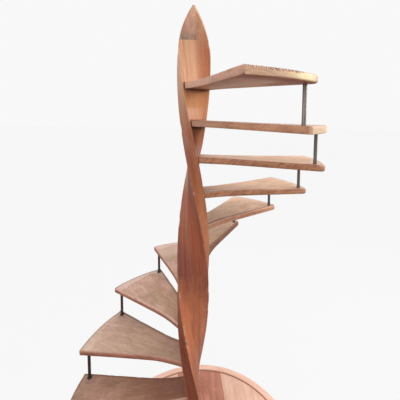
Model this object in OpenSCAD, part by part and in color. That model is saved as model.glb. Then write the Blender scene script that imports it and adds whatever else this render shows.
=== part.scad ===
// Open spiral staircase on a round wooden base.
// Winder treads are let into one broad face of a twisted board post,
// and their outer ends are tied to each other by upright steel rods.
// Millimetres. Z is up, the base underside is Z = 0, the post axis is the Z axis.
// The stair turns clockwise on the way up, seen from above.

/* [Stair] */
// Height from one tread top to the next
rise = 180; // [170:1:190]
// Turn from one tread to the next, in degrees
step_angle = 27; // [26:0.5:28]
// Direction of the first tread from +X, in degrees
first_tread_angle = 243; // [0:1:359]

/* [Treads] */
// Radius of the outer edge of the treads
tread_radius = 634; // [624:1:640]
// Thickness of a tread
tread_thickness = 30; // [26:1:34]
// Droop of the treads towards their outer ends, in degrees
tread_droop = 1.4; // [0:0.1:1.8]
// How far a tread runs past its neighbour at the outer edge, in degrees
tread_overlap = 4.4; // [3.6:0.1:5]
// Half width of a tread where it meets the post
tread_neck = 63; // [56:1:66]
// Slope of the straight part of a tread's sides
side_slope = 0.2407; // [0.22:0.005:0.26]
// Softness of the bend between the straight side and the neck
neck_blend = 16; // [8:1:24]
// Sideways offset of the arc that ends the top tread, which is cut a little askew
top_arc_offset = 27; // [0:1:30]
// Extra width of the top tread along its back
top_extra_width = 3; // [0:0.5:4]

/* [Rods] */
// Radius of the circle the rods stand on
rod_circle = 590; // [585:1:592]
// Rod diameter
rod_d = 16; // [12:0.5:18]
// Depth of the blind holes that take the rod ends
rod_seat = 12; // [8:0.5:14]
// Clearance around a rod end
rod_gap = 0.2; // [0.1:0.05:0.4]

/* [Post] */
// Width of the board
post_width = 158; // [154:1:168]
// Thickness of the board
post_thickness = 58; // [52:1:62]
// Height of the point above the floor
post_top = 2555; // [2500:5:2600]
// Length of the pointed top
point_length = 262; // [220:2:270]
// Chamfer on the four long arrises
arris = 3; // [2:0.5:6]
// Turn of the board against the treads, in degrees
post_phase = 2; // [-2:0.5:4]
// Depth of the housings for the treads
housing = 12; // [10:0.5:14]
// Slack at each end of a housing
housing_slack = 7; // [4:0.5:8]

/* [Base] */
// Outer radius of the base
base_radius = 654; // [648:1:670]
// Height of the rim
base_height = 55; // [50:1:60]
// Width of the rim
rim_width = 52; // [46:1:54]
// Chamfer on the outer top edge of the rim
rim_chamfer = 8; // [4:0.5:12]
// Drop from the rim top to the boards
floor_drop = 5; // [3:0.5:8]
// Direction of the joints between the boards, in degrees from Y
board_turn = 10; // [0:1:20]
// Distance of the right-hand joint from the post axis
joint_right = 236; // [200:1:260]
// Distance of the left-hand joint from the post axis
joint_left = 82; // [80:1:120]

/* [Hidden] */
treads = 12;
fine = 180;
fit_gap = 0.3;
floor_z = base_height - floor_drop;
board_radius = base_radius - rim_width - 0.4;
tenon_width = 104;
tenon_thickness = 34;
tenon_depth = 33;
half_span = (step_angle + tread_overlap) / 2;
corner_x = tread_radius * cos(half_span);
corner_y = tread_radius * sin(half_span);
tread_in = post_thickness / 2 - housing;
post_bottom = floor_z;
spring_z = post_top - point_length;
half_post = post_width / 2;
arch_r = (point_length * point_length + half_post * half_post) / (2 * half_post);
blunt = 3;

rim_wood = [0.87, 0.66, 0.54];
pale_wood = [0.90, 0.73, 0.60];
dark_wood = [0.55, 0.32, 0.24];
post_wood = [0.56, 0.31, 0.22];
tread_wood = [0.66, 0.47, 0.37];
steel = [0.20, 0.19, 0.19];

// Direction of tread n, and of the rod under its leading corner
function tread_dir(n) = first_tread_angle - step_angle * (n - 1);
function rod_dir(n) = tread_dir(n) + step_angle / 2;

// Half width of a tread at distance x from the post axis:
// a straight side that bends softly into the neck
function side_line(x) = corner_y - side_slope * (corner_x - x);
function half_tread(x) = let (s = side_line(x))
  (s + tread_neck + sqrt(pow(s - tread_neck, 2) + neck_blend * neck_blend)) / 2;

// Angle of the board's broad face at height z, and its half width and half thickness
function post_dir(z) = first_tread_angle + post_phase - step_angle * (z / rise - 1);
function below_point(z) = post_top - z;
function half_width_at(z) = z <= spring_z ? half_post
  : max(blunt, half_post - arch_r + sqrt(arch_r * arch_r - pow(point_length - below_point(z), 2)));
function half_thick_at(z) = let (k = min(1, below_point(z) / (0.6 * point_length)))
  post_thickness / 2 * (0.22 + 0.78 * sqrt(k * (2 - k)));

// One cross-section of the board: a rectangle with chamfered corners, turned to its height
function post_section(z) = let (
    a = half_width_at(z), t = half_thick_at(z), c = min(arris, a / 3), p = post_dir(z),
    q = [[a - c, t], [a, t - c], [a, c - t], [a - c, -t], [c - a, -t], [-a, c - t], [-a, t - c], [c - a, t]])
  [for (e = q) [e[1] * cos(p) - e[0] * sin(p), e[1] * sin(p) + e[0] * cos(p), z]];

post_low = 120;
post_high = 20;
post_levels = concat(
  [for (i = [0:post_low - 1]) post_bottom + (spring_z - post_bottom) * i / post_low],
  [for (i = [0:post_high]) spring_z + point_length * (1 - pow(1 - i / post_high, 1.35))]);

module board_blank() {
  rings = [for (z = post_levels) post_section(z)];
  count = len(rings);
  points = [for (r = rings) for (p = r) p];
  faces = concat(
    [[for (j = [0:7]) j]],
    [[for (j = [7:-1:0]) (count - 1) * 8 + j]],
    [for (i = [0:count - 2]) for (j = [0:7]) [i * 8 + j, (i + 1) * 8 + j, i * 8 + (j + 1) % 8]],
    [for (i = [0:count - 2]) for (j = [0:7]) [(i + 1) * 8 + j, (i + 1) * 8 + (j + 1) % 8, i * 8 + (j + 1) % 8]]);
  polyhedron(points, faces, convexity = 10);
}

// Puts tread n's own frame, with its top at Z = 0, in place: turned, raised, and drooping about the rod circle
module place_tread(n) {
  rotate([0, 0, tread_dir(n)])
    translate([rod_circle, 0, n * rise])
      rotate([0, tread_droop, 0])
        translate([-rod_circle, 0, 0])
          children();
}

module twisted_post() color(post_wood) {
  difference() {
    board_blank();
    for (n = [1:treads])
      place_tread(n)
        translate([tread_in - fit_gap, -tread_neck - housing_slack, -tread_thickness - fit_gap])
          cube([90, 2 * (tread_neck + housing_slack), tread_thickness + 2 * fit_gap]);
  }
  rotate([0, 0, post_dir(post_bottom)])
    translate([-tenon_thickness / 2, -tenon_width / 2, post_bottom - tenon_depth])
      cube([tenon_thickness, tenon_width, tenon_depth + 1]);
}

module tread_outline(extra) {
  stations = [for (i = [0:14]) tread_in + (corner_x + 40 - tread_in) * i / 14];
  polygon(concat(
    [for (i = [0:14]) [stations[i], -half_tread(stations[i]) - extra * i / 14]],
    [for (i = [14:-1:0]) [stations[i], half_tread(stations[i])]]));
}

module tread(n) color(tread_wood) {
  top = n * rise;
  last = n == treads ? 1 : 0;
  difference() {
    place_tread(n)
      intersection() {
        translate([0, 0, -tread_thickness]) linear_extrude(tread_thickness) tread_outline(last * top_extra_width);
        translate([0, last * top_arc_offset, -tread_thickness - 1]) cylinder(r = tread_radius, h = tread_thickness + 2, $fn = fine);
      }
    rotate([0, 0, rod_dir(n)])
      translate([rod_circle, 0, top - tread_thickness - 1]) cylinder(d = rod_d + 2 * rod_gap, h = rod_seat + 1, $fn = 32);
    if (n < treads)
      rotate([0, 0, rod_dir(n + 1)])
        translate([rod_circle, 0, top - rod_seat]) cylinder(d = rod_d + 2 * rod_gap, h = rod_seat + 1, $fn = 32);
  }
}

// Rod n stands on tread n - 1, or on the base for the first one, and carries tread n
module rod(n) color(steel) {
  low = n == 1 ? floor_z : (n - 1) * rise;
  high = n * rise - tread_thickness;
  rotate([0, 0, rod_dir(n)])
    translate([rod_circle, 0, low - rod_seat]) cylinder(d = rod_d, h = high - low + 2 * rod_seat, $fn = 32);
}

module base_rim() color(rim_wood) {
  difference() {
    union() {
      cylinder(r = base_radius, h = base_height - rim_chamfer, $fn = fine);
      translate([0, 0, base_height - rim_chamfer])
        cylinder(r1 = base_radius, r2 = base_radius - rim_chamfer, h = rim_chamfer, $fn = fine);
    }
    translate([0, 0, -1]) cylinder(r = base_radius - rim_width, h = base_height + 2, $fn = fine);
  }
}

// A slice of the round floor between two distances from the post axis
module floor_slice(from, to) {
  intersection() {
    cylinder(r = board_radius, h = floor_z, $fn = fine);
    rotate([0, 0, board_turn])
      translate([from, -base_radius, -1]) cube([to - from, 2 * base_radius, floor_z + 2]);
  }
}

module base_board_left() color(pale_wood) {
  difference() {
    floor_slice(-base_radius, -joint_left);
    rotate([0, 0, rod_dir(1)])
      translate([rod_circle, 0, floor_z - rod_seat]) cylinder(d = rod_d + 2 * rod_gap, h = rod_seat + 1, $fn = 32);
  }
}

module base_board_right() color(pale_wood) floor_slice(joint_right, base_radius);

module base_board_centre() color(dark_wood) {
  difference() {
    floor_slice(-joint_left, joint_right);
    rotate([0, 0, post_dir(post_bottom)])
      translate([-tenon_thickness / 2 - fit_gap, -tenon_width / 2 - fit_gap, floor_z - tenon_depth])
        cube([tenon_thickness + 2 * fit_gap, tenon_width + 2 * fit_gap, tenon_depth + 1]);
  }
}

module tread_01() tread(1);
module tread_02() tread(2);
module tread_03() tread(3);
module tread_04() tread(4);
module tread_05() tread(5);
module tread_06() tread(6);
module tread_07() tread(7);
module tread_08() tread(8);
module tread_09() tread(9);
module tread_10() tread(10);
module tread_11() tread(11);
module tread_12() tread(12);

module rod_01() rod(1);
module rod_02() rod(2);
module rod_03() rod(3);
module rod_04() rod(4);
module rod_05() rod(5);
module rod_06() rod(6);
module rod_07() rod(7);
module rod_08() rod(8);
module rod_09() rod(9);
module rod_10() rod(10);
module rod_11() rod(11);
module rod_12() rod(12);

base_rim();
base_board_left();
base_board_centre();
base_board_right();
twisted_post();
tread_01();
tread_02();
tread_03();
tread_04();
tread_05();
tread_06();
tread_07();
tread_08();
tread_09();
tread_10();
tread_11();
tread_12();
rod_01();
rod_02();
rod_03();
rod_04();
rod_05();
rod_06();
rod_07();
rod_08();
rod_09();
rod_10();
rod_11();
rod_12();
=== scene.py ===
import math
import random

import bmesh
import bpy
import numpy as np
from mathutils import Matrix, Vector, noise


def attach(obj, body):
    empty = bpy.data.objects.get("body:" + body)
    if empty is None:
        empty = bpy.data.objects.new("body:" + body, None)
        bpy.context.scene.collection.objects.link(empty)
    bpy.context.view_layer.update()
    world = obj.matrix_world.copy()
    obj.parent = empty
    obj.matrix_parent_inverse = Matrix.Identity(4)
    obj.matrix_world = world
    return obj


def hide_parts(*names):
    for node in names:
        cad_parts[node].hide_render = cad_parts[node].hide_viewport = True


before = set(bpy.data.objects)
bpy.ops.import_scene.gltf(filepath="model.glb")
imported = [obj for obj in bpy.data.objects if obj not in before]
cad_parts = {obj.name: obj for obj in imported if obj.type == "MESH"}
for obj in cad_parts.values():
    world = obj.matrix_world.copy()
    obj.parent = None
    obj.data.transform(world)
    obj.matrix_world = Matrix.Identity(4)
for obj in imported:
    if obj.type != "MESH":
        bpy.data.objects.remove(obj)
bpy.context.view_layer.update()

# ---------------------------------------------------------------- sizes, in metres, as in the CAD
RISE, STEP, FIRST, TREADS = 0.180, 27.0, 243.0, 12
TREAD_R, TREAD_T, OVERLAP, NECK, SLOPE, BLEND, DROOP = 0.634, 0.030, 4.4, 0.063, 0.2407, 0.016, 1.4
TOP_ARC, TOP_EXTRA = 0.027, 0.003
ROD_C, ROD_D = 0.590, 0.016
POST_W, POST_T, POST_TOP, POINT, PHASE = 0.158, 0.058, 2.555, 0.262, 2.0
HOUSING, SLACK = 0.012, 0.007
BASE_R, BASE_H, RIM_W, DROP = 0.654, 0.055, 0.052, 0.005
FLOOR_Z, BOARD_R = BASE_H - DROP, BASE_R - RIM_W - 0.0004
TURN, JOINT_R, JOINT_L = 10.0, 0.236, 0.082
HALF_SPAN = math.radians((STEP + OVERLAP) / 2)
CORNER_X, CORNER_Y = TREAD_R * math.cos(HALF_SPAN), TREAD_R * math.sin(HALF_SPAN)
TREAD_IN = POST_T / 2 - HOUSING


def srgb(r, g, b):
    f = lambda c: c / 12.92 if c <= 0.04045 else ((c + 0.055) / 1.055) ** 2.4
    return (f(r / 255.0), f(g / 255.0), f(b / 255.0), 1.0)


def tread_dir(n):
    return math.radians(FIRST - STEP * (n - 1))


def post_dir(z):
    return math.radians(FIRST + PHASE - STEP * (z / RISE - 1))


def smooth(a, b, x):
    t = np.clip((np.asarray(x, float) - a) / (b - a), 0, 1)
    return t * t * (3 - 2 * t)


def link(o):
    bpy.context.scene.collection.objects.link(o)
    return o


def perlin(p, scale, seed=0.0):
    return noise.noise(Vector((p[0] * scale + seed, p[1] * scale - 1.7 * seed, p[2] * scale + 0.31 * seed)))


# ---------------------------------------------------------------- mesh building
def make_object(name, co, faces, attrs, mats, nodes, smooth_angle=40.0, weld=2e-5):
    """attrs: {name: array}; (N,3) arrays become vectors, (N,) arrays become floats."""
    me = bpy.data.meshes.new(name)
    me.from_pydata([tuple(c) for c in co], [], [tuple(f) for f in faces])
    for key, data in attrs.items():
        data = np.asarray(data, np.float32)
        if data.ndim == 2:
            me.attributes.new(key, "FLOAT_VECTOR", "POINT").data.foreach_set("vector", data.ravel())
        else:
            me.attributes.new(key, "FLOAT", "POINT").data.foreach_set("value", data.ravel())
    bm = bmesh.new()
    bm.from_mesh(me)
    if weld:
        bmesh.ops.remove_doubles(bm, verts=bm.verts, dist=weld)
        bmesh.ops.dissolve_degenerate(bm, edges=bm.edges, dist=min(1e-6, weld))
    bmesh.ops.triangulate(bm, faces=[f for f in bm.faces if len(f.verts) > 4], quad_method="BEAUTY", ngon_method="BEAUTY")
    bmesh.ops.recalc_face_normals(bm, faces=bm.faces)
    bm.to_mesh(me)
    bm.free()
    me.shade_smooth()
    me.set_sharp_from_angle(angle=math.radians(smooth_angle))
    for m in mats if isinstance(mats, (list, tuple)) else [mats]:
        me.materials.append(m)
    o = link(bpy.data.objects.new(name, me))
    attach(o, "root")
    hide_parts(*nodes)
    return o


def ring_faces(rows, cols, closed=True):
    out = []
    for i in range(rows - 1):
        for j in range(cols if closed else cols - 1):
            k = (j + 1) % cols
            out.append((i * cols + j, i * cols + k, (i + 1) * cols + k, (i + 1) * cols + j))
    return out


def inward_normals(p):
    nxt, prv = np.roll(p, -1, 0), np.roll(p, 1, 0)
    t = nxt - prv
    t /= np.linalg.norm(t, axis=1)[:, None] + 1e-12
    return np.stack([-t[:, 1], t[:, 0]], 1)        # outlines run counter-clockwise


def half_tread(x):
    s = CORNER_Y - SLOPE * (CORNER_X - x)
    return (s + NECK + math.sqrt((s - NECK) ** 2 + BLEND * BLEND)) / 2


def corner(rc):
    """Side run and outer corner of a tread on its back half: points outwards along the side, then round the corner to the arc."""
    d = math.hypot(1, SLOPE)
    c0 = CORNER_Y - SLOPE * CORNER_X - rc * d           # the side line, moved inwards by the corner radius
    qa, qb, qc = 1 + SLOPE * SLOPE, 2 * SLOPE * c0, c0 * c0 - (TREAD_R - rc) ** 2
    cx = (-qb + math.sqrt(qb * qb - 4 * qa * qc)) / (2 * qa)
    cy = -(SLOPE * cx + c0)
    a0, a1 = math.atan2(-1.0, -SLOPE), math.atan2(cy, cx)
    x_end = cx + rc * math.cos(a0)
    lift = -half_tread(x_end) - (cy + rc * math.sin(a0))
    pts = [(x, -half_tread(x), 0.0) for x in np.linspace(TREAD_IN, x_end, 84)[:-1]]
    for i in range(9):
        a = a0 + ((a1 - a0) % (2 * math.pi)) * i / 8
        pts.append((cx + rc * math.cos(a), cy + rc * math.sin(a) + lift * (1 - i / 8), 0.5))
    return pts, a1


def tread_outline(rc_back, rc_front, n_arc):
    """Counter-clockwise plan outline from the back inner corner, with a label per point: 0 sides, 0.5 corners, 1 outer edge, 2 inner end."""
    back, a_back = corner(rc_back)
    front, a_front = corner(rc_front)
    a_front = -a_front
    arc = [(TREAD_R * math.cos(a), TREAD_R * math.sin(a), 1.0) for a in np.linspace(a_back, a_front, n_arc + 1)[1:-1]]
    pts = back + arc + [(x, -y, l) for x, y, l in reversed(front)]
    top = half_tread(TREAD_IN)
    pts += [(TREAD_IN, y, 2.0) for y in np.linspace(top, -top, 17)[1:-1]]
    p = np.array(pts)
    return p[:, :2], p[:, 2]


SPINE = (0.075, TREAD_R - 0.105)
# per tread: lightness of the top against the middle, tone of the sides, corner radii, and strength of the scuffed outer band
TONE = {1: -0.5, 2: -0.6, 3: -0.62, 4: 0.44, 5: 0.08, 6: 0.13, 7: 0.66, 8: 0.68, 9: 0.85, 10: 0.70, 11: 0.4, 12: 0.3}
SIDE = {1: -0.2, 2: -0.3, 3: -0.3, 4: -0.45, 5: 0.05, 6: -0.15, 7: -1.0, 8: 0.0, 9: -0.30, 10: -0.60, 11: 0.10, 12: 0.52}
BACK_R = {1: 0.012, 2: 0.010, 3: 0.008, 4: 0.007, 5: 0.009, 6: 0.014, 7: 0.020, 8: 0.024, 9: 0.024, 10: 0.022, 11: 0.006, 12: 0.0055}
FRONT_R = {1: 0.016, 2: 0.012, 3: 0.010, 4: 0.008, 5: 0.011, 6: 0.014, 7: 0.016, 8: 0.014, 9: 0.014, 10: 0.018, 11: 0.032, 12: 0.040}
BAND = {1: 0.3, 2: 0.2, 3: 0.1, 4: 0.25, 5: 0.72, 6: 0.8, 7: 0.4, 8: 0.4, 9: 0.3, 10: 0.4, 11: 0.3, 12: 0.4}


# how far each tread's back arris and nosing are rubbed pale and carry a painted highlight, the painted shade and the
# dark line along the back of its top, and how pale its outer end goes
BACK_RUB_AND_SHEEN = {7: 0.0, 8: 1.7, 9: 0.05, 10: 0.05, 11: 0.10, 12: 0.15}
NOSE_RUB_AND_SHEEN = {3: 0.6, 4: 0.30, 5: 1.3, 6: 0.8}
BACK_WIDE = {3: 0.2, 4: 0.85, 5: 0.45, 6: 0.3}
OUTER_PALE = {6: 0.55, 4: 0.12}
BACK_LINE = {3: 0.2, 4: 0.6, 5: 0.45, 6: 0.3, 7: 0.65, 8: 0.82, 9: 0.40, 10: 0.55, 11: 0.55, 12: 0.0}


def tread_piece(n, mat):
    rnd = random.Random(900 + n)
    p, lab = tread_outline(BACK_R[n], FRONT_R[n], 300 if n == TREADS else 130)
    if n == TREADS:                                   # the top tread's end is cut a little askew, and its back is wider
        rad = np.hypot(p[:, 0], p[:, 1])
        p = p * (1 + TOP_ARC * p[:, 1] / rad * smooth(0.40, 0.60, rad) / rad)[:, None]
        p[:, 1] -= TOP_EXTRA * (p[:, 0] - TREAD_IN) / (CORNER_X + 0.04 - TREAD_IN) * (p[:, 1] < 0)
    nin = inward_normals(p)
    count = len(p)
    # the nosing and the outer end are rounded more than the back; the end of the top two treads is crisper at its back corner
    front_side = smooth(0.02, 0.06, p[:, 1]) * (lab == 0)
    crisp = 1 - smooth(0.04, 0.15, p[:, 1]) if n >= 11 else np.zeros(count)
    back_side = smooth(-0.02, -0.06, p[:, 1]) * (lab == 0)
    outer_end = (lab >= 0.5) * (lab < 1.5) * (1 - 0.85 * crisp)
    worn = np.maximum(front_side, ((lab >= 0.5) & (lab < 1.5)) * 1.1 if n == TREADS else outer_end)
    under = np.maximum(front_side, ((lab >= 0.5) & (lab < 1.5)) * 0.75 * smooth(-0.17, -0.02, p[:, 1])) if n >= 11 else np.maximum(front_side, outer_end)
    for i in range(3):
        worn = sum(np.roll(worn, q) for q in range(-4, 5)) / 9
        under = sum(np.roll(under, q) for q in range(-4, 5)) / 9
    least_t, least_b = (0.0030 if n >= 8 else 0.0046), (0.0026 if n >= 11 else 0.0055)
    rt = least_t + (0.0088 - least_t) * worn
    rb = least_b + (0.0085 - least_b) * under
    for rc, at in ((BACK_R[n], p[(lab == 0.5) & (p[:, 1] < 0)]), (FRONT_R[n], p[(lab == 0.5) & (p[:, 1] > 0)])):
        away = np.sqrt(((p[:, None, :] - at[None, :, :]) ** 2).sum(2)).min(1)
        rt, rb = np.minimum(rt, rc - 0.0024 + 0.3 * away), np.minimum(rb, rc - 0.0024 + 0.3 * away)
    rt, rb = rt[:, None], rb[:, None]
    rows, kind = [], []                              # kind: 0 under, 1 side, 2 top, with 0.5 steps on the rounds

    def inset(dist):
        return p + nin * dist

    def inner(base, s):
        q = base.copy()
        c = np.stack([np.clip(q[:, 0], *SPINE), np.zeros(count)], 1)
        return c + (q - c) * s

    b0, t0 = inset(rb + 0.001), inset(rt + 0.001)
    for s in (0.1, 0.3, 0.5, 0.7, 0.87, 1.0):
        rows.append((inner(b0, s), -TREAD_T))
        kind.append(0.0)
    for i in range(5):
        f = math.radians(90 * i / 4)
        rows.append((inset(rb * (1 - math.sin(f))), (-TREAD_T + rb * (1 - math.cos(f)))[:, 0]))
        kind.append(0.25 + 0.5 * i / 4)
    for z in (-0.019, -0.0145, -0.011):
        rows.append((inset(0.0), z))
        kind.append(1.0)
    for i in range(6):
        f = math.radians(90 * i / 5)
        rows.append((inset(rt * (1 - math.cos(f))), (-rt + rt * math.sin(f))[:, 0]))
        kind.append(1.25 + 0.5 * i / 5)
    brim_rows = {}
    for s, b in ((1.0, 1.0), (0.975, 0.6), (0.93, 0.0), (0.87, 0.0), (0.78, 0.0), (0.68, 0.0), (0.57, 0.0), (0.45, 0.0), (0.33, 0.0), (0.21, 0.0), (0.1, 0.0)):
        brim_rows[len(rows)] = b
        rows.append((inner(t0, s), 0.0))
        kind.append(2.0)
    co, kk, ll, jj = [], [], [], []
    for (q, z), k in zip(rows, kind):
        zz = np.broadcast_to(np.asarray(z, float), (count,))
        for j in range(count):
            co.append((q[j, 0], q[j, 1], zz[j]))
        kk += [k] * count
        ll += list(lab)
        jj += list(range(count))
    co, kk, ll, jj = np.array(co), np.array(kk), np.array(ll), np.array(jj)
    loc = co.copy()

    # nicks along the outer top edge, more of them on the top tread, and a few along the nosing
    arc = np.where(lab == 1)[0]
    side = np.where((lab == 0) & (p[:, 0] > 0.2))[0]
    spots = []
    if n == TREADS:
        for i in range(13):                           # a row of small bites near the back corner, ragged chips further on
            f = 0.03 + 0.38 * (i + rnd.uniform(-0.2, 0.2)) / 13
            spots.append((arc[int(f * (len(arc) - 1))], rnd.uniform(1.7, 2.4), rnd.uniform(0.0015, 0.0024), 1.0, 1.15))
        for i in range(60):
            f = 0.25 + 0.55 * rnd.betavariate(1.8, 1.8)
            spots.append((arc[int(f * (len(arc) - 1))], rnd.uniform(0.9, 2.0), rnd.uniform(0.0009, 0.0024), rnd.uniform(0.6, 1.0), rnd.choice((1.28, 1.2, 1.2, 1.0))))
    else:
        for i in range(rnd.randint(2, 4)):
            spots.append((rnd.choice(list(arc)), rnd.uniform(1.0, 1.8), rnd.uniform(0.0005, 0.0014), 0.6, 1.15))
    for i in range(rnd.randint(3, 6)):
        spots.append((rnd.choice(list(side)), rnd.uniform(0.8, 1.6), rnd.uniform(0.0005, 0.0014), 0.3, 1.15))
    nick = np.zeros(len(co))
    inner_fade = np.where(kk >= 2.0, 0.0, 1.0)
    for j, wd, dp, dark, reach in spots:
        upper = smooth(reach, reach + 0.35, kk)
        d = np.abs(jj - j)
        d = np.minimum(d, count - d)
        g = np.clip(1 - (d / wd) ** 2, 0, 1) * upper * inner_fade
        co[:, :2] += nin[jj] * (g * dp)[:, None]
        co[:, 2] -= g * dp * 0.9
        nick = np.maximum(nick, g * dark * min(1.0, dp / 0.0015))

    # foot wear: a shallow dish on the walking line and a softened nosing
    topness = smooth(1.5, 2.0, kk)
    dish = np.exp(-((loc[:, 0] - 0.40) / 0.15) ** 2 - (loc[:, 1] / 0.085) ** 2)
    co[:, 2] -= 0.0014 * dish * topness
    front = np.exp(-((loc[:, 0] - 0.40) / 0.16) ** 2) * smooth(0.03, 0.10, loc[:, 1])
    co[:, 2] -= 0.0016 * front * smooth(1.2, 1.75, kk) * (1 - 0.7 * topness)
    # hand-worked edges are not quite straight
    seed = 3.7 * n
    for i in range(len(co)):
        k = kk[i]
        if k >= 0.25 and k <= 1.75 and ll[i] != 2:
            v = perlin(loc[i], 14.0, seed) * 0.0009 + perlin(loc[i], 60.0, seed + 5) * 0.00025
            co[i, :2] += nin[jj[i]] * v
        elif k == 2.0:
            co[i, 2] += perlin(loc[i], 11.0, seed + 9) * 0.0004 - 0.0003
    if n == TREADS:                                   # grubby line down the sharp back corner, darkest at the bottom
        grub = (ll == 0.5) * (loc[:, 1] < 0) * np.exp(-((kk - 0.6) / 0.35) ** 2)
        nick = np.maximum(nick, 0.8 * grub)
    brim = np.repeat([brim_rows.get(i, 0.0) for i in range(len(rows))], count)
    brim = np.maximum(brim, smooth(1.5, 1.75, kk) * (kk < 2)) * ((ll < 1.5) * (1 - front_side[jj]) * (1 - (0.8 if n >= 7 else 0.0) * back_side[jj]))
    edge = np.exp(-((kk - 1.5) / 0.22) ** 2) + 0.35 * np.exp(-((kk - 0.5) / 0.2) ** 2)
    edge *= 1 - (0.75 if n < 8 else 0.35) * outer_end[jj]
    edge *= 1 - (1 - BACK_RUB_AND_SHEEN.get(n, 0.3)) * back_side[jj]
    edge *= 1 - (1 - NOSE_RUB_AND_SHEEN.get(n, 1.0)) * front_side[jj]
    zone = np.stack([smooth(1.45, 1.75, kk), ((ll == 1) * 1.0 + (ll == 0.5) * 0.5) * smooth(0.3, 0.6, kk) * (1 - smooth(1.4, 1.7, kk)), 1 - smooth(0.3, 0.6, kk)], 1)
    shift = np.array([rnd.uniform(-4, 4), rnd.uniform(-4, 4), rnd.uniform(-4, 4)])
    m = (Matrix.Rotation(tread_dir(n), 4, "Z") @ Matrix.Translation((ROD_C, 0, n * RISE))
         @ Matrix.Rotation(math.radians(DROOP), 4, "Y") @ Matrix.Translation((-ROD_C, 0, 0)))
    m = np.array(m)
    world = co @ m[:3, :3].T + m[:3, 3]
    tone, band, side_tone = (np.full(len(co), t[n]) for t in (TONE, BAND, SIDE))
    back_line, back_wide, outer_pale = (np.full(len(co), t.get(n, d)) for t, d in ((BACK_LINE, 0.3), (BACK_WIDE, 0.05), (OUTER_PALE, 0.0)))
    pale_end = np.full(len(co), {12: 1.0, 11: 1.3, 10: 0.25}.get(n, 0.1))
    faces = ring_faces(len(rows), count)
    faces.append(tuple(range(count - 1, -1, -1)))
    faces.append(tuple((len(rows) - 1) * count + j for j in range(count)))
    return make_object("tread_piece_%02d" % n, world, faces,
                       {"loc": loc, "shift": np.tile(shift, (len(co), 1)), "zone": zone, "edge": np.clip(edge, 0, 1), "nick": nick, "tone": tone, "band": band, "side_tone": side_tone, "brim": brim, "pale_end": pale_end, "back_line": back_line, "back_wide": back_wide, "outer_pale": outer_pale},
                       mat, ["tread_%02d" % n], weld=5e-7)


# ---------------------------------------------------------------- post
SPRING = POST_TOP - POINT
HALF_POST = POST_W / 2
ARCH_R = (POINT * POINT + HALF_POST * HALF_POST) / (2 * HALF_POST)


def half_width_at(z):
    if z <= SPRING:
        return HALF_POST
    return max(0.003, HALF_POST - ARCH_R + math.sqrt(max(0.0, ARCH_R ** 2 - (z - SPRING) ** 2)))


def half_thick_at(z):
    k = min(1.0, (POST_TOP - z) / (0.6 * POINT))
    return POST_T / 2 * (0.22 + 0.78 * math.sqrt(max(0.0, k * (2 - k))))


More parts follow.
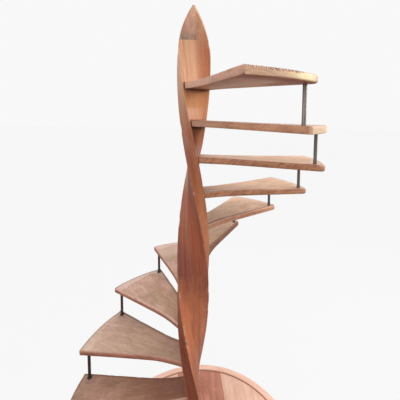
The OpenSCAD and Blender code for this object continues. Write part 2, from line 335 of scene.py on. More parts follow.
def post_piece(mat):
    rnd = random.Random(41)
    low = np.linspace(FLOOR_Z, SPRING, 430)
    high = [SPRING + POINT * (1 - (1 - i / 70) ** 1.3) for i in range(1, 71)]
    levels = list(low) + high
    dents = []                                        # (height, arris, length, depth)
    for i in range(34):
        dents.append((rnd.uniform(0.1, 2.45), rnd.randrange(4), rnd.uniform(0.006, 0.03), rnd.uniform(0.0008, 0.0026)))
    dents += [(0.858, 3, 0.020, 0.0042), (0.934, 3, 0.008, 0.0036), (1.10, 3, 0.014, 0.003)]
    co = []
    for z in levels:
        a, t = half_width_at(z), half_thick_at(z)
        ra = min(0.0042, 0.45 * a, 0.45 * t)
        p = post_dir(z)
        cs, sn = math.cos(p), math.sin(p)
        ring = []
        corners = [(1, 1), (-1, 1), (-1, -1), (1, -1)]
        for c, (su, sv) in enumerate(corners):
            cut = 0.0
            for dz, which, ln, dp in dents:
                if which == c and abs(z - dz) < ln:
                    cut = max(cut, dp * (1 - ((z - dz) / ln) ** 2))
            cu, cv = su * (a - ra), sv * (t - ra)
            base = math.atan2(sv, su)
            for i in range(7):
                ang = base + (i - 3) / 3 * math.pi / 4
                ring.append((cu + ra * math.cos(ang) - su * cut * 0.7, cv + ra * math.sin(ang) - sv * cut * 0.7))
            nu, nv = corners[(c + 1) % 4]
            steps = 16 if nv == sv else 8
            s0 = ring[-1]
            nbase = math.atan2(nv, nu)
            e = (nu * (a - ra) + ra * math.cos(nbase - math.pi / 4), nv * (t - ra) + ra * math.sin(nbase - math.pi / 4))
            for i in range(1, steps):
                f = i / steps
                ring.append((s0[0] + (e[0] - s0[0]) * f, s0[1] + (e[1] - s0[1]) * f))
        for u, v in ring:
            w = perlin((u, v, z * 0.5), 16.0, 2.0) * 0.0006
            k = 1 + w / max(0.02, math.hypot(u, v))
            u2, v2 = u * k, v * k
            co.append((v2 * cs - u2 * sn, v2 * sn + u2 * cs, z))
    cols = len(co) // len(levels)
    faces = ring_faces(len(levels), cols)
    faces.append(tuple(range(cols - 1, -1, -1)))
    faces.append(tuple((len(levels) - 1) * cols + j for j in range(cols)))
    me = bpy.data.meshes.new("post_blank")
    me.from_pydata(co, [], faces)
    me.update()
    blank = link(bpy.data.objects.new("post_blank", me))
    # housings for the treads
    cm = bmesh.new()
    for n in range(1, TREADS + 1):
        m = (Matrix.Rotation(tread_dir(n), 4, "Z") @ Matrix.Translation((ROD_C, 0, n * RISE))
             @ Matrix.Rotation(math.radians(DROOP), 4, "Y") @ Matrix.Translation((-ROD_C, 0, 0)))
        x0, x1 = TREAD_IN - 0.0003, TREAD_IN + 0.09
        y0 = NECK + SLACK + 0.0003
        z0, z1 = -TREAD_T - 0.0006, 0.0004
        vs = [cm.verts.new(m @ Vector((x, y, z))) for x in (x0, x1) for y in (-y0, y0) for z in (z0, z1)]
        for f in ((0, 1, 3, 2), (4, 6, 7, 5), (0, 4, 5, 1), (2, 3, 7, 6), (0, 2, 6, 4), (1, 5, 7, 3)):
            cm.faces.new([vs[i] for i in f])
    bmesh.ops.recalc_face_normals(cm, faces=cm.faces)
    cme = bpy.data.meshes.new("housing_cut")
    cm.to_mesh(cme)
    cm.free()
    cutter = link(bpy.data.objects.new("housing_cut", cme))
    mod = blank.modifiers.new("cut", "BOOLEAN")
    mod.operation, mod.solver, mod.object = "DIFFERENCE", "EXACT", cutter
    dg = bpy.context.evaluated_depsgraph_get()
    done = bpy.data.meshes.new_from_object(blank.evaluated_get(dg))
    bpy.data.objects.remove(blank)
    bpy.data.objects.remove(cutter)
    n = len(done.vertices)
    w = np.zeros(n * 3, np.float32)
    done.vertices.foreach_get("co", w)
    w = w.reshape(-1, 3).astype(float)
    ang = np.radians(FIRST + PHASE - STEP * (w[:, 2] / RISE - 1))
    u = -w[:, 0] * np.sin(ang) + w[:, 1] * np.cos(ang)
    v = w[:, 0] * np.cos(ang) + w[:, 1] * np.sin(ang)
    a = np.array([half_width_at(z) for z in w[:, 2]])
    t = np.array([half_thick_at(z) for z in w[:, 2]])
    loc = np.stack([u, v, w[:, 2]], 1)
    du, dv = a - np.abs(u), t - np.abs(v)
    f1 = smooth(0.004, 0.0015, t - v)
    f2 = smooth(0.004, 0.0015, t + v)
    ed = smooth(0.004, 0.0015, du)
    edge = np.exp(-((du + dv) / 0.0035) ** 2)
    # the recess inside a housing, which the material paints dark as shade
    housing_shade = smooth(0.003, 0.008, np.minimum(du, dv))   # inside a housing
    shade_below_tread, warm_shade_tint = np.zeros(n), np.zeros(n)
    # painted shadow on the post under and beside each tread, and a painted warm tint in the same shade
    for q in range(1, TREADS + 1):
        m = np.array((Matrix.Rotation(tread_dir(q), 4, "Z") @ Matrix.Translation((ROD_C, 0, q * RISE))
                      @ Matrix.Rotation(math.radians(DROOP), 4, "Y") @ Matrix.Translation((-ROD_C, 0, 0))).inverted())
        lo = w @ m[:3, :3].T + m[:3, 3]
        dy = np.maximum(np.abs(lo[:, 1]) - NECK - SLACK * 0.5, 0)
        below, above = np.maximum(-TREAD_T - lo[:, 2], 0), np.maximum(lo[:, 2], 0)
        shade_tail, glow = (0.05, 1.0) if q == TREADS else (0.55, 1.0) if q == TREADS - 1 else (0.22, 0.6)
        g = np.exp(-(dy / 0.008) ** 2) * (0.80 * np.exp(-(below / 0.011) ** 1.4) + shade_tail * np.exp(-(below / 0.075) ** 1.5)) * np.exp(-(above / 0.003) ** 2) * (1 - 0.75 * smooth(-0.010, -0.001, lo[:, 2]))
        shade_below_tread = np.maximum(shade_below_tread, np.minimum(g, 1) * (lo[:, 0] > 0.004))
        g = glow * np.exp(-(dy / 0.012) ** 2) * np.exp(-(below / 0.085) ** 1.6) * np.exp(-(above / 0.004) ** 2)
        warm_shade_tint = np.maximum(warm_shade_tint, g * (lo[:, 0] > 0.004))
    dent = np.zeros(n)
    for dz, which, ln, dp in dents:
        su, sv = corners[which]
        near = np.exp(-((np.abs(a - su * u) + np.abs(t - sv * v)) / 0.006) ** 2)
        dent = np.maximum(dent, near * np.clip(1.2 * (1 - ((w[:, 2] - dz) / ln) ** 2), 0, 1) * min(1.0, (dp / 0.0036) ** 2))
    faces = [tuple(pl.vertices) for pl in done.polygons]
    zone = np.stack([f1, f2, ed], 1)
    bpy.data.meshes.remove(done)
    return make_object("post_piece", w, faces, {"loc": loc, "zone": zone, "edge": edge, "housing_shade": housing_shade, "dent": dent, "shade_below_tread": shade_below_tread, "warm_shade_tint": warm_shade_tint}, mat, ["twisted_post"], smooth_angle=45, weld=2e-6)


# ---------------------------------------------------------------- rods
BARE_AND_LIT = {6: 0.05, 7: 0.15, 8: 0.3, 9: 0.42, 10: 0.5, 11: 0.62, 12: 1.0}      # how much paler each rod is: partly the dark finish worn off, partly painted light on the rods to the right


FLARE = {8: 0.55, 9: 0.5, 10: 0.4, 11: 0.2, 12: 0.1}                            # how much the weld at its ends spreads


def rod_piece(n, mat):
    low = FLOOR_Z if n == 1 else (n - 1) * RISE
    high = n * RISE - TREAD_T
    a = tread_dir(n) + math.radians(STEP / 2)
    cx, cy = ROD_C * math.cos(a), ROD_C * math.sin(a)
    r = ROD_D / 2
    ln = high - low
    prof = [(0.0, -0.011), (r * 0.9, -0.011), (r, -0.010), (r, -0.0005), (0.0122, 0.0), (0.0126, 0.0012), (0.0120, 0.0040), (0.0108, 0.0080), (0.0096, 0.0130), (0.0086, 0.0190), (r, 0.0250)]
    for i in range(1, 12):
        prof.append((r, 0.0250 + (ln - 0.040) * i / 12))
    prof += [(r, ln - 0.0150), (0.0084, ln - 0.0105), (0.0094, ln - 0.0055), (0.0106, ln - 0.0015), (0.0104, ln), (r, ln + 0.0008), (r, ln + 0.010), (r * 0.9, ln + 0.011), (0.0, ln + 0.011)]
    spread = FLARE.get(n, 1.0)
    prof = [(rr if rr <= r else r + (rr - r) * spread, z) for rr, z in prof]
    seg = 28
    co, loc, foot, bare_and_lit = [], [], [], []
    for i, (rr, z) in enumerate(prof):
        for j in range(seg):
            t = 2 * math.pi * j / seg
            w = perlin((math.cos(t) * 0.02, math.sin(t) * 0.02, z), 70.0, n * 2.1) * 0.00022 if rr > 0.001 else 0.0
            co.append((cx + (rr + w) * math.cos(t), cy + (rr + w) * math.sin(t), low + z))
            loc.append((rr * math.cos(t), rr * math.sin(t), z + 0.3 * n))
            bare_and_lit.append(BARE_AND_LIT.get(n, 0.0))
            foot.append((max(0.0, 1 - max(0.0, z) / 0.026) + max(0.0, 1 - max(0.0, ln - z) / 0.018)) * (0.4 + 0.6 * spread))
    return make_object("rod_piece_%02d" % n, co, ring_faces(len(prof), seg), {"loc": loc, "foot": np.clip(foot, 0, 1), "bare_and_lit": bare_and_lit}, mat, ["rod_%02d" % n], smooth_angle=50)


# ---------------------------------------------------------------- base
def rim_piece(mat):
    ri, ro, h = BASE_R - RIM_W, BASE_R, BASE_H
    prof = []                                         # (radius, height) round the section
    def arc(cr, cz, r, a0, a1, k):
        for i in range(k + 1):
            a = math.radians(a0 + (a1 - a0) * i / k)
            prof.append((cr + r * math.cos(a), cz + r * math.sin(a)))
    arc(ro - 0.003, 0.003, 0.003, -90, 0, 3)
    prof.append((ro, 0.016)); prof.append((ro, 0.030))
    arc(ro - 0.011, h - 0.011, 0.011, 0, 90, 7)
    for f in (0.25, 0.5, 0.75):
        prof.append((ro - 0.011 + (ri + 0.004 - ro + 0.011) * f, h))
    arc(ri + 0.004, h - 0.004, 0.004, 90, 180, 4)
    prof.append((ri, 0.025))
    arc(ri + 0.002, 0.002, 0.002, 180, 270, 2)
    for f in (0.33, 0.66):
        prof.append((ri + 0.002 + (ro - 0.003 - ri - 0.002) * f, 0.0))
    seg = 360
    k = len(prof)
    co, loc, edge = [], [], []
    for j in range(seg):
        t = 2 * math.pi * j / seg
        for r, z in prof:
            w = 0.0
            if z > 0.02:
                w = perlin((math.cos(t) * r, math.sin(t) * r, z), 9.0, 4.0) * 0.0007 - 0.0004
            rr = r + (w if r > ri + 0.02 else 0.0)
            zz = z + (w if z > h - 0.004 else 0.0)
            co.append((rr * math.cos(t), rr * math.sin(t), zz))
            loc.append((t / (2 * math.pi), r, z))
            edge.append(math.exp(-(((ro - r) + (h - z) - 0.006) / 0.008) ** 2) if z > 0.03 else 0.0)
    faces = []
    for j in range(seg):
        for i in range(k):
            a, b = j * k + i, j * k + (i + 1) % k
            c, d = ((j + 1) % seg) * k + (i + 1) % k, ((j + 1) % seg) * k + i
            faces.append((a, b, c, d))
    return make_object("rim_piece", co, faces, {"loc": loc, "edge": edge, "pos": np.array(co)}, mat, ["base_rim"], smooth_angle=50)


def board_piece(name, x0, x1, mat, node, gap=0.0008):
    """A slice of the round floor between two straight joints, with eased edges."""
    r = BOARD_R - 0.0006
    x0, x1 = max(x0 + gap, -r + 1e-4), min(x1 - gap, r - 1e-4)
    pts = []
    def line(pa, pb, k):
        for i in range(k):
            f = i / k
            pts.append((pa[0] + (pb[0] - pa[0]) * f, pa[1] + (pb[1] - pa[1]) * f))
    y0, y1 = math.sqrt(max(0, r * r - x0 * x0)), math.sqrt(max(0, r * r - x1 * x1))
    # counter-clockwise: right joint upwards, far arc, left joint downwards, near arc
    if y1 > 0.02:
        line((x1, -y1), (x1, y1), 60)
        a0 = math.atan2(y1, x1)
    else:
        a0 = None
    def arc(a, b, k):
        for i in range(k):
            t = a + (b - a) * i / k
            pts.append((r * math.cos(t), r * math.sin(t)))
    if y0 > 0.02 and y1 > 0.02:
        arc(math.atan2(y1, x1), math.atan2(y0, x0), 60)
        line((x0, y0), (x0, -y0), 60)
        arc(math.atan2(-y0, x0) % (2 * math.pi), math.atan2(-y1, x1) % (2 * math.pi), 60)
    elif y1 > 0.02:                                   # left end piece: arc from the far end of its joint right round
        arc(math.atan2(y1, x1), 2 * math.pi - math.atan2(y1, x1), 160)
    else:                                             # right end piece
        arc(-math.atan2(y0, x0), math.atan2(y0, x0), 120)
        line((x0, y0), (x0, -y0), 60)
    p = np.array(pts)
    nin = inward_normals(p)
    cen = np.array([(x0 + x1) / 2, 0.0])
    e = 0.0016
    rows = []
    for s in (0.02, 0.5, 0.9):
        rows.append((cen + (p + nin * 0.004 - cen) * s, 0.0))
    rows += [(p + nin * 0.0015, 0.0), (p, 0.0015), (p, 0.02), (p, FLOOR_Z - e)]
    for i in range(1, 4):
        f = math.radians(30 * i)
        rows.append((p + nin * e * (1 - math.cos(f)), FLOOR_Z - e + e * math.sin(f)))
    for s in (0.97, 0.9, 0.8, 0.65, 0.5, 0.35, 0.2, 0.08, 0.02):
        rows.append((cen + (p + nin * e - cen) * s, FLOOR_Z))
    co, loc, edge = [], [], []
    c, s_ = math.cos(math.radians(TURN)), math.sin(math.radians(TURN))
    for i, (q, z) in enumerate(rows):
        for x, y in q:
            zz = z + (perlin((x, y, 0.0), 6.0, x0 * 9) * 0.0006 - 0.0005 if z >= FLOOR_Z - 1e-6 else 0.0)
            co.append((x * c - y * s_, x * s_ + y * c, zz))
            loc.append((x, y, z))
            edge.append(1.0 if 6 <= i <= 9 else 0.0)
    faces = ring_faces(len(rows), len(p))
    k = len(p)
    faces.append(tuple(range(k - 1, -1, -1)))
    faces.append(tuple((len(rows) - 1) * k + j for j in range(k)))
    return make_object(name, co, faces, {"loc": loc, "edge": edge}, mat, [node], smooth_angle=40)


# ---------------------------------------------------------------- materials
class Mat:
    """Small helper for building node materials."""

    def __init__(self, name):
        self.m = bpy.data.materials.new(name)
        self.m.use_nodes = True
        self.t = self.m.node_tree
        self.bsdf = next(x for x in self.t.nodes if x.type == "BSDF_PRINCIPLED")

    def n(self, kind, **props):
        x = self.t.nodes.new(kind)
        for k, v in props.items():
            setattr(x, k, v)
        return x

    def put(self, sock, value):
        if hasattr(value, "is_output"):
            self.t.links.new(value, sock)
        else:
            sock.default_value = value

    def attr(self, name, out="Vector"):
        return self.n("ShaderNodeAttribute", attribute_type="GEOMETRY", attribute_name=name).outputs[out]

    def math(self, op, a, b=None, c=None, clamp=False):
        x = self.n("ShaderNodeMath", operation=op, use_clamp=clamp)
        self.put(x.inputs[0], a)
        if b is not None:
            self.put(x.inputs[1], b)
        if c is not None:
            self.put(x.inputs[2], c)
        return x.outputs[0]

    def vmath(self, op, a, b):
        x = self.n("ShaderNodeVectorMath", operation=op)
        self.put(x.inputs[0], a)
        self.put(x.inputs[1], b)
        return x.outputs[0]

    def sep(self, v):
        x = self.n("ShaderNodeSeparateXYZ")
        self.put(x.inputs[0], v)
        return x.outputs

    def comb(self, a, b, c):
        x = self.n("ShaderNodeCombineXYZ")
        for i, v in enumerate((a, b, c)):
            self.put(x.inputs[i], v)
        return x.outputs[0]

    def noise(self, vec, scale=1.0, detail=4.0, rough=0.55, dist=0.0):
        x = self.n("ShaderNodeTexNoise")
        self.put(x.inputs["Vector"], vec)
        x.inputs["Scale"].default_value = scale
        x.inputs["Detail"].default_value = detail
        x.inputs["Roughness"].default_value = rough
        x.inputs["Distortion"].default_value = dist
        return x.outputs["Fac"]

    def voronoi(self, vec, scale=1.0, feature="F1"):
        x = self.n("ShaderNodeTexVoronoi", feature=feature)
        self.put(x.inputs["Vector"], vec)
        x.inputs["Scale"].default_value = scale
        return x.outputs["Distance"]

    def white(self, vec):
        x = self.n("ShaderNodeTexWhiteNoise", noise_dimensions="3D")
        self.put(x.inputs["Vector"], vec)
        return x.outputs["Value"]

    def range(self, v, a, b, lo=0.0, hi=1.0, kind="SMOOTHSTEP"):
        x = self.n("ShaderNodeMapRange", interpolation_type=kind, clamp=True)
        for i, val in enumerate((v, a, b, lo, hi)):
            self.put(x.inputs[i], val)
        return x.outputs[0]

    def mix(self, fac, a, b, blend="MIX"):
        x = self.n("ShaderNodeMix", data_type="RGBA", blend_type=blend)
        self.put(x.inputs[0], fac)
        self.put(x.inputs[6], a)
        self.put(x.inputs[7], b)
        return x.outputs[2]

    def bump(self, height, strength, distance, normal=None):
        x = self.n("ShaderNodeBump")
        x.inputs["Strength"].default_value = strength
        x.inputs["Distance"].default_value = distance
        self.put(x.inputs["Height"], height)
        if normal is not None:
            self.put(x.inputs["Normal"], normal)
        return x.outputs[0]

    def finish(self, color, rough, normal=None, metallic=None, spec=None):
        self.put(self.bsdf.inputs["Base Color"], color)
        self.put(self.bsdf.inputs["Roughness"], rough)
        if normal is not None:
            self.put(self.bsdf.inputs["Normal"], normal)
        if metallic is not None:
            self.bsdf.inputs["Metallic"].default_value = metallic
        if spec is not None:
            self.bsdf.inputs["Specular IOR Level"].default_value = spec
        return self.m


def grain(k, vec, along, across, ring):
    """Fibre, figure and pore signals for wood whose grain runs along the vector's first axis."""
    x, y, z = k.sep(vec)
    wob = k.noise(k.vmath("MULTIPLY", vec, (1.7, 6.0, 6.0)), 1.0, 3.0, 0.5)
    off = k.math("MULTIPLY", k.math("SUBTRACT", wob, 0.5), 0.045)
    y2, z2 = k.math("ADD", y, off), k.math("ADD", z, off)
    fibre = k.noise(k.comb(k.math("MULTIPLY", x, along), k.math("MULTIPLY", y2, across), k.math("MULTIPLY", z2, across)), 1.0, 6.0, 0.65)
    rings = k.noise(k.comb(k.math("MULTIPLY", x, along * 0.3), k.math("MULTIPLY", y2, ring), k.math("MULTIPLY", z2, ring)), 1.0, 4.0, 0.55, 0.5)
    pores = k.noise(k.comb(k.math("MULTIPLY", x, along * 8), k.math("MULTIPLY", y2, across * 5), k.math("MULTIPLY", z2, across * 5)), 1.0, 2.0, 0.5)
    return fibre, rings, pores


def tread_material():
    k = Mat("tread_wood_look")
    raw = k.attr("loc")
    x, y, z = k.sep(raw)
    vec = k.vmath("ADD", raw, k.attr("shift"))
    top, end, under = k.sep(k.attr("zone"))
    edge, nick, tone, side_tone = (k.attr(a, "Fac") for a in ("edge", "nick", "tone", "side_tone"))
    fibre, rings, pores = grain(k, vec, 6.0, 170.0, 40.0)
    f = k.range(fibre, 0.34, 0.68)
    r = k.range(rings, 0.32, 0.68)
    dark_fibre = k.range(fibre, 0.42, 0.30)
    # planed sides: red-brown, with slanting saw strokes
    slant = k.comb(k.math("MULTIPLY", k.math("SUBTRACT", x, z), 105.0), k.math("MULTIPLY", y, 6.0), k.math("MULTIPLY", k.math("ADD", x, z), 11.0))
    strokes = k.noise(slant, 1.0, 3.0, 0.6)
    side = k.mix(r, srgb(154, 98, 70), srgb(192, 136, 101))
    side = k.mix(k.math("MULTIPLY", f, 0.40), side, srgb(206, 152, 116))
    side = k.mix(k.math("MULTIPLY", dark_fibre, 0.35), side, srgb(108, 61, 43))
    side = k.mix(k.range(side_tone, 0.0, 1.0, 0.0, 0.75, "LINEAR"), side, k.mix(f, srgb(194, 156, 140), srgb(216, 180, 166)))
    side = k.mix(k.range(side_tone, 0.0, -1.0, 0.0, 0.80, "LINEAR"), side, k.mix(f, srgb(130, 74, 42), srgb(174, 112, 70)))
    side = k.mix(k.range(side_tone, -0.75, -1.0, 0.0, 0.62), side, srgb(104, 66, 44))
    saw = k.range(side_tone, 0.2, -0.3, 0.25, 1.0)
    side = k.mix(k.math("MULTIPLY", k.range(strokes, 0.49, 0.66, 0.0, 0.46), saw), side, srgb(92, 48, 32))
    side = k.mix(k.math("MULTIPLY", k.range(strokes, 0.45, 0.32, 0.0, 0.34), saw), side, srgb(214, 162, 128))
    # the nosing is rubbed red; painted shade darkens the lower part of the sides, most on the nosing; near the post
    # some sides go greyer and the palest go paler
    nose = k.range(y, -0.01, 0.01)
    side = k.mix(k.math("MULTIPLY", nose, 0.72), side, k.mix(r, srgb(128, 74, 60), srgb(160, 102, 86)))
    side = k.mix(k.math("MULTIPLY", k.range(z, -0.016, -0.027, 0.0, 0.60), k.math("MULTIPLY_ADD", nose, 0.75, 0.25)), side, srgb(96, 56, 43))
    side = k.mix(k.math("MULTIPLY", k.range(x, 0.34, 0.10, 0.0, 0.30), k.math("MULTIPLY", k.range(side_tone, -0.1, 0.1), k.range(side_tone, 0.5, 0.3))), side, srgb(112, 92, 84))
    side = k.mix(k.math("MULTIPLY", k.range(x, 0.40, 0.16, 0.0, 0.36), k.range(side_tone, 0.4, 0.6)), side, srgb(236, 184, 160))
    # walked-on top: greyed, mottled, matt; pinkish where rubbed, olive brown where grimy
    blotch = k.noise(k.vmath("MULTIPLY", vec, (6.0, 14.0, 9.0)), 1.0, 6.0, 0.66, 0.5)
    cloud = k.noise(k.vmath("MULTIPLY", vec, (3.6, 4.6, 3.6)), 1.0, 3.0, 0.5, 0.4)
    specks = k.noise(k.vmath("MULTIPLY", vec, (38.0, 120.0, 60.0)), 1.0, 5.0, 0.7)
    upper = k.mix(k.range(cloud, 0.39, 0.61), srgb(182, 149, 119), srgb(226, 182, 163))
    mottle = k.noise(k.vmath("MULTIPLY", vec, (14.0, 42.0, 21.0)), 1.0, 5.0, 0.64, 0.8)
    upper = k.mix(k.range(blotch, 0.40, 0.66, 0.0, 0.70), upper, srgb(176, 136, 110))
    upper = k.mix(k.range(mottle, 0.52, 0.70, 0.0, 0.45), upper, srgb(224, 188, 168))
    upper = k.mix(k.range(mottle, 0.48, 0.32, 0.0, 0.45), upper, srgb(150, 112, 88))
    upper = k.mix(k.range(specks, 0.52, 0.72, 0.0, 0.45), upper, srgb(226, 192, 172))
    upper = k.mix(k.range(specks, 0.47, 0.28, 0.0, 0.40), upper, srgb(126, 94, 74))
    upper = k.mix(k.math("MULTIPLY", f, 0.20), upper, srgb(220, 178, 154))
    upper = k.mix(k.math("MULTIPLY", r, 0.12), upper, srgb(150, 108, 84))
    upper = k.mix(k.math("MULTIPLY", dark_fibre, 0.30), upper, srgb(116, 82, 64))
    # scuffed, paler band with a ragged inside edge along the outer arc
    rad = k.math("SQRT", k.math("ADD", k.math("MULTIPLY", x, x), k.math("MULTIPLY", y, y)))
    rag = k.math("MULTIPLY", k.math("SUBTRACT", k.noise(k.vmath("MULTIPLY", vec, (15.0, 15.0, 6.0)), 1.0, 6.0, 0.72), 0.5), 0.15)
    rag = k.math("ADD", rag, k.range(y, -0.02, 0.13, -0.012, 0.020))
    band = k.math("MULTIPLY", k.range(k.math("ADD", rad, rag), 0.576, 0.588), k.attr("band", "Fac"))
    lip = k.math("MULTIPLY", k.range(k.math("ABSOLUTE", k.math("SUBTRACT", k.math("ADD", rad, rag), 0.574)), 0.008, 0.002), k.attr("band", "Fac"))
    upper = k.mix(k.math("MULTIPLY", lip, 0.45), upper, srgb(134, 96, 74))
    upper = k.mix(k.math("MULTIPLY", band, k.range(specks, 0.35, 0.60, 0.70, 1.0)), upper, srgb(240, 209, 194))
    upper = k.mix(k.math("MULTIPLY", k.attr("brim", "Fac"), k.range(mottle, 0.30, 0.60, 0.35, 0.85)), upper, srgb(100, 82, 70))
    # brown where less trodden; paler and warmer mostly on the right-hand treads, partly worn wood and partly a painted
    # sheen of the light on them; darker by the post, partly browner wood and partly painted shade; paler towards the
    # outer end on some treads
    brown = k.mix(k.range(blotch, 0.36, 0.66), srgb(122, 82, 62), srgb(160, 114, 90))
    brown = k.mix(k.range(mottle, 0.50, 0.66, 0.0, 0.50), brown, srgb(184, 140, 116))
    brown = k.mix(k.range(specks, 0.50, 0.70, 0.0, 0.55), brown, srgb(192, 150, 126))
    brown = k.mix(k.range(specks, 0.47, 0.30, 0.0, 0.60), brown, srgb(82, 48, 34))
    upper = k.mix(k.range(tone, 0.0, -1.0, 0.0, 0.88, "LINEAR"), upper, brown)
    # paler and warmer on the high-tone treads: partly worn wood, partly a painted sheen of the light
    pale_and_sheen = k.mix(k.range(tone, 0.50, 0.66), k.mix(k.range(mottle, 0.40, 0.60), srgb(220, 186, 168), srgb(246, 214, 198)), k.mix(k.range(mottle, 0.40, 0.60), srgb(226, 178, 138), srgb(246, 205, 168)))
    upper = k.mix(k.range(tone, 0.0, 1.0, 0.0, 0.55, "LINEAR"), upper, pale_and_sheen)
    # darker and browner by the post: partly browner wood, partly painted shade
    upper = k.mix(k.math("MULTIPLY", k.range(x, 0.40, 0.12), k.range(tone, 0.4, 0.8, 0.26, 0.08)), upper, srgb(120, 80, 58))
    upper = k.mix(k.math("MULTIPLY", k.range(x, 0.46, 0.14), k.range(tone, 0.0, -0.6, 0.0, 0.50)), upper, srgb(118, 56, 32))
    upper = k.mix(k.math("MULTIPLY", k.range(x, 0.36, 0.50), k.attr("outer_pale", "Fac")), upper, srgb(240, 202, 186))
    # grime along the back of the top
    half = k.math("MAXIMUM", k.math("MULTIPLY_ADD", x, SLOPE, CORNER_Y - SLOPE * CORNER_X), NECK)
    # painted shade along the back of the top, where the tread above overlaps it, and a dark line at the very back edge
    inside = k.math("ADD", y, half)
    back_line = k.attr("back_line", "Fac")
    upper = k.mix(k.math("MULTIPLY", k.range(inside, 0.10, 0.015, 0.0, 0.40), k.attr("back_wide", "Fac")), upper, srgb(118, 106, 100))
    upper = k.mix(k.math("MULTIPLY", k.range(inside, 0.022, 0.008, 0.0, 0.85), back_line), upper, srgb(114, 56, 22))
    # outer edge: end grain, with a painted highlight towards its front, painted shade at the front tip and along the
    # bottom, and paler end grain on the top treads
    fleck = k.noise(k.vmath("MULTIPLY", vec, (30.0, 34.0, 260.0)), 1.0, 4.0, 0.6)
    outer = k.mix(k.range(fleck, 0.32, 0.68), srgb(182, 139, 110), srgb(208, 168, 138))
    # painted highlight towards the front of the end, then painted shade at its front tip
    outer = k.mix(k.range(y, -0.07, 0.07, 0.0, 0.85), outer, srgb(244, 214, 158))
    outer = k.mix(k.range(y, 0.090, 0.145, 0.0, 0.75), outer, srgb(208, 162, 118))
    outer = k.mix(k.range(k.attr("pale_end", "Fac"), 1.0, 1.3, 0.0, 0.45), outer, srgb(234, 208, 172))
    outer = k.mix(k.range(k.attr("pale_end", "Fac"), 1.0, 0.0, 0.0, 0.72, "LINEAR"), outer, k.mix(k.range(fleck, 0.34, 0.66), srgb(138, 98, 76), srgb(178, 134, 108)))
    outer = k.mix(k.range(blotch, 0.50, 0.70, 0.0, 0.30), outer, srgb(178, 136, 106))
    # painted shade along the bottom of the end on most treads
    outer = k.mix(k.math("MULTIPLY", k.range(z, -0.018, -0.028, 0.0, 0.55), k.range(k.attr("pale_end", "Fac"), 1.0, 0.4)), outer, srgb(120, 80, 54))
    # underside: red brown by the back and the end, with painted shade in dark red by the post and a painted pool of
    # light, paler and greyer, in the middle towards the front
    low = k.mix(r, srgb(140, 82, 52), srgb(182, 114, 78))
    low = k.mix(k.range(rad, 0.52, 0.60, 0.0, 0.95), low, srgb(148, 71, 28))
    pale_low = k.mix(r, srgb(222, 178, 152), srgb(242, 202, 176))
    light = k.math("MULTIPLY", k.range(k.math("DIVIDE", y, half), -1.3, 0.1), k.math("MULTIPLY", k.range(rad, 0.60, 0.50), k.range(x, 0.05, 0.16)))
    light = k.math("MULTIPLY", light, k.math("SUBTRACT", 1.0, k.math("MULTIPLY", k.range(y, 0.02, 0.07), k.range(x, 0.40, 0.48, 0.0, 0.85))))
    low = k.mix(k.math("MULTIPLY", light, 0.72), low, pale_low)
    low = k.mix(k.range(x, 0.17, 0.06, 0.0, 0.75), low, srgb(64, 22, 8))
    low = k.mix(k.math("MULTIPLY", f, 0.14), low, srgb(212, 164, 138))
    low = k.mix(k.math("MULTIPLY", dark_fibre, 0.30), low, srgb(96, 62, 46))
    col = k.mix(end, side, outer)
    col = k.mix(under, col, low)
    col = k.mix(top, col, upper)
    # rubbed arris with a painted highlight on its rounds, then pores, then dirt in the nicks
    col = k.mix(k.math("MULTIPLY", edge, k.range(specks, 0.36, 0.64, 0.30, 0.70)), col, srgb(236, 196, 178))
    dark_pore = k.range(pores, 0.40, 0.30)
    pore_mix = k.math("MULTIPLY", k.math("MULTIPLY_ADD", top, -0.15, 0.30), k.math("MULTIPLY_ADD", end, -0.85, 1.0))
    col = k.mix(k.math("MULTIPLY", dark_pore, pore_mix), col, srgb(92, 56, 42))
    col = k.mix(k.math("MULTIPLY", nick, 0.9), col, srgb(62, 42, 32))
    rough = k.math("ADD", k.range(blotch, 0.3, 0.7, 0.44, 0.60), k.math("MULTIPLY", k.math("SUBTRACT", fibre, 0.5), 0.2))
    h = k.math("ADD", k.math("MULTIPLY", fibre, 0.6), k.math("MULTIPLY", dark_pore, -0.5))
    h = k.math("ADD", h, k.math("MULTIPLY", specks, 0.6))
    return k.finish(col, rough, k.bump(h, 0.30, 0.0009), spec=0.42)


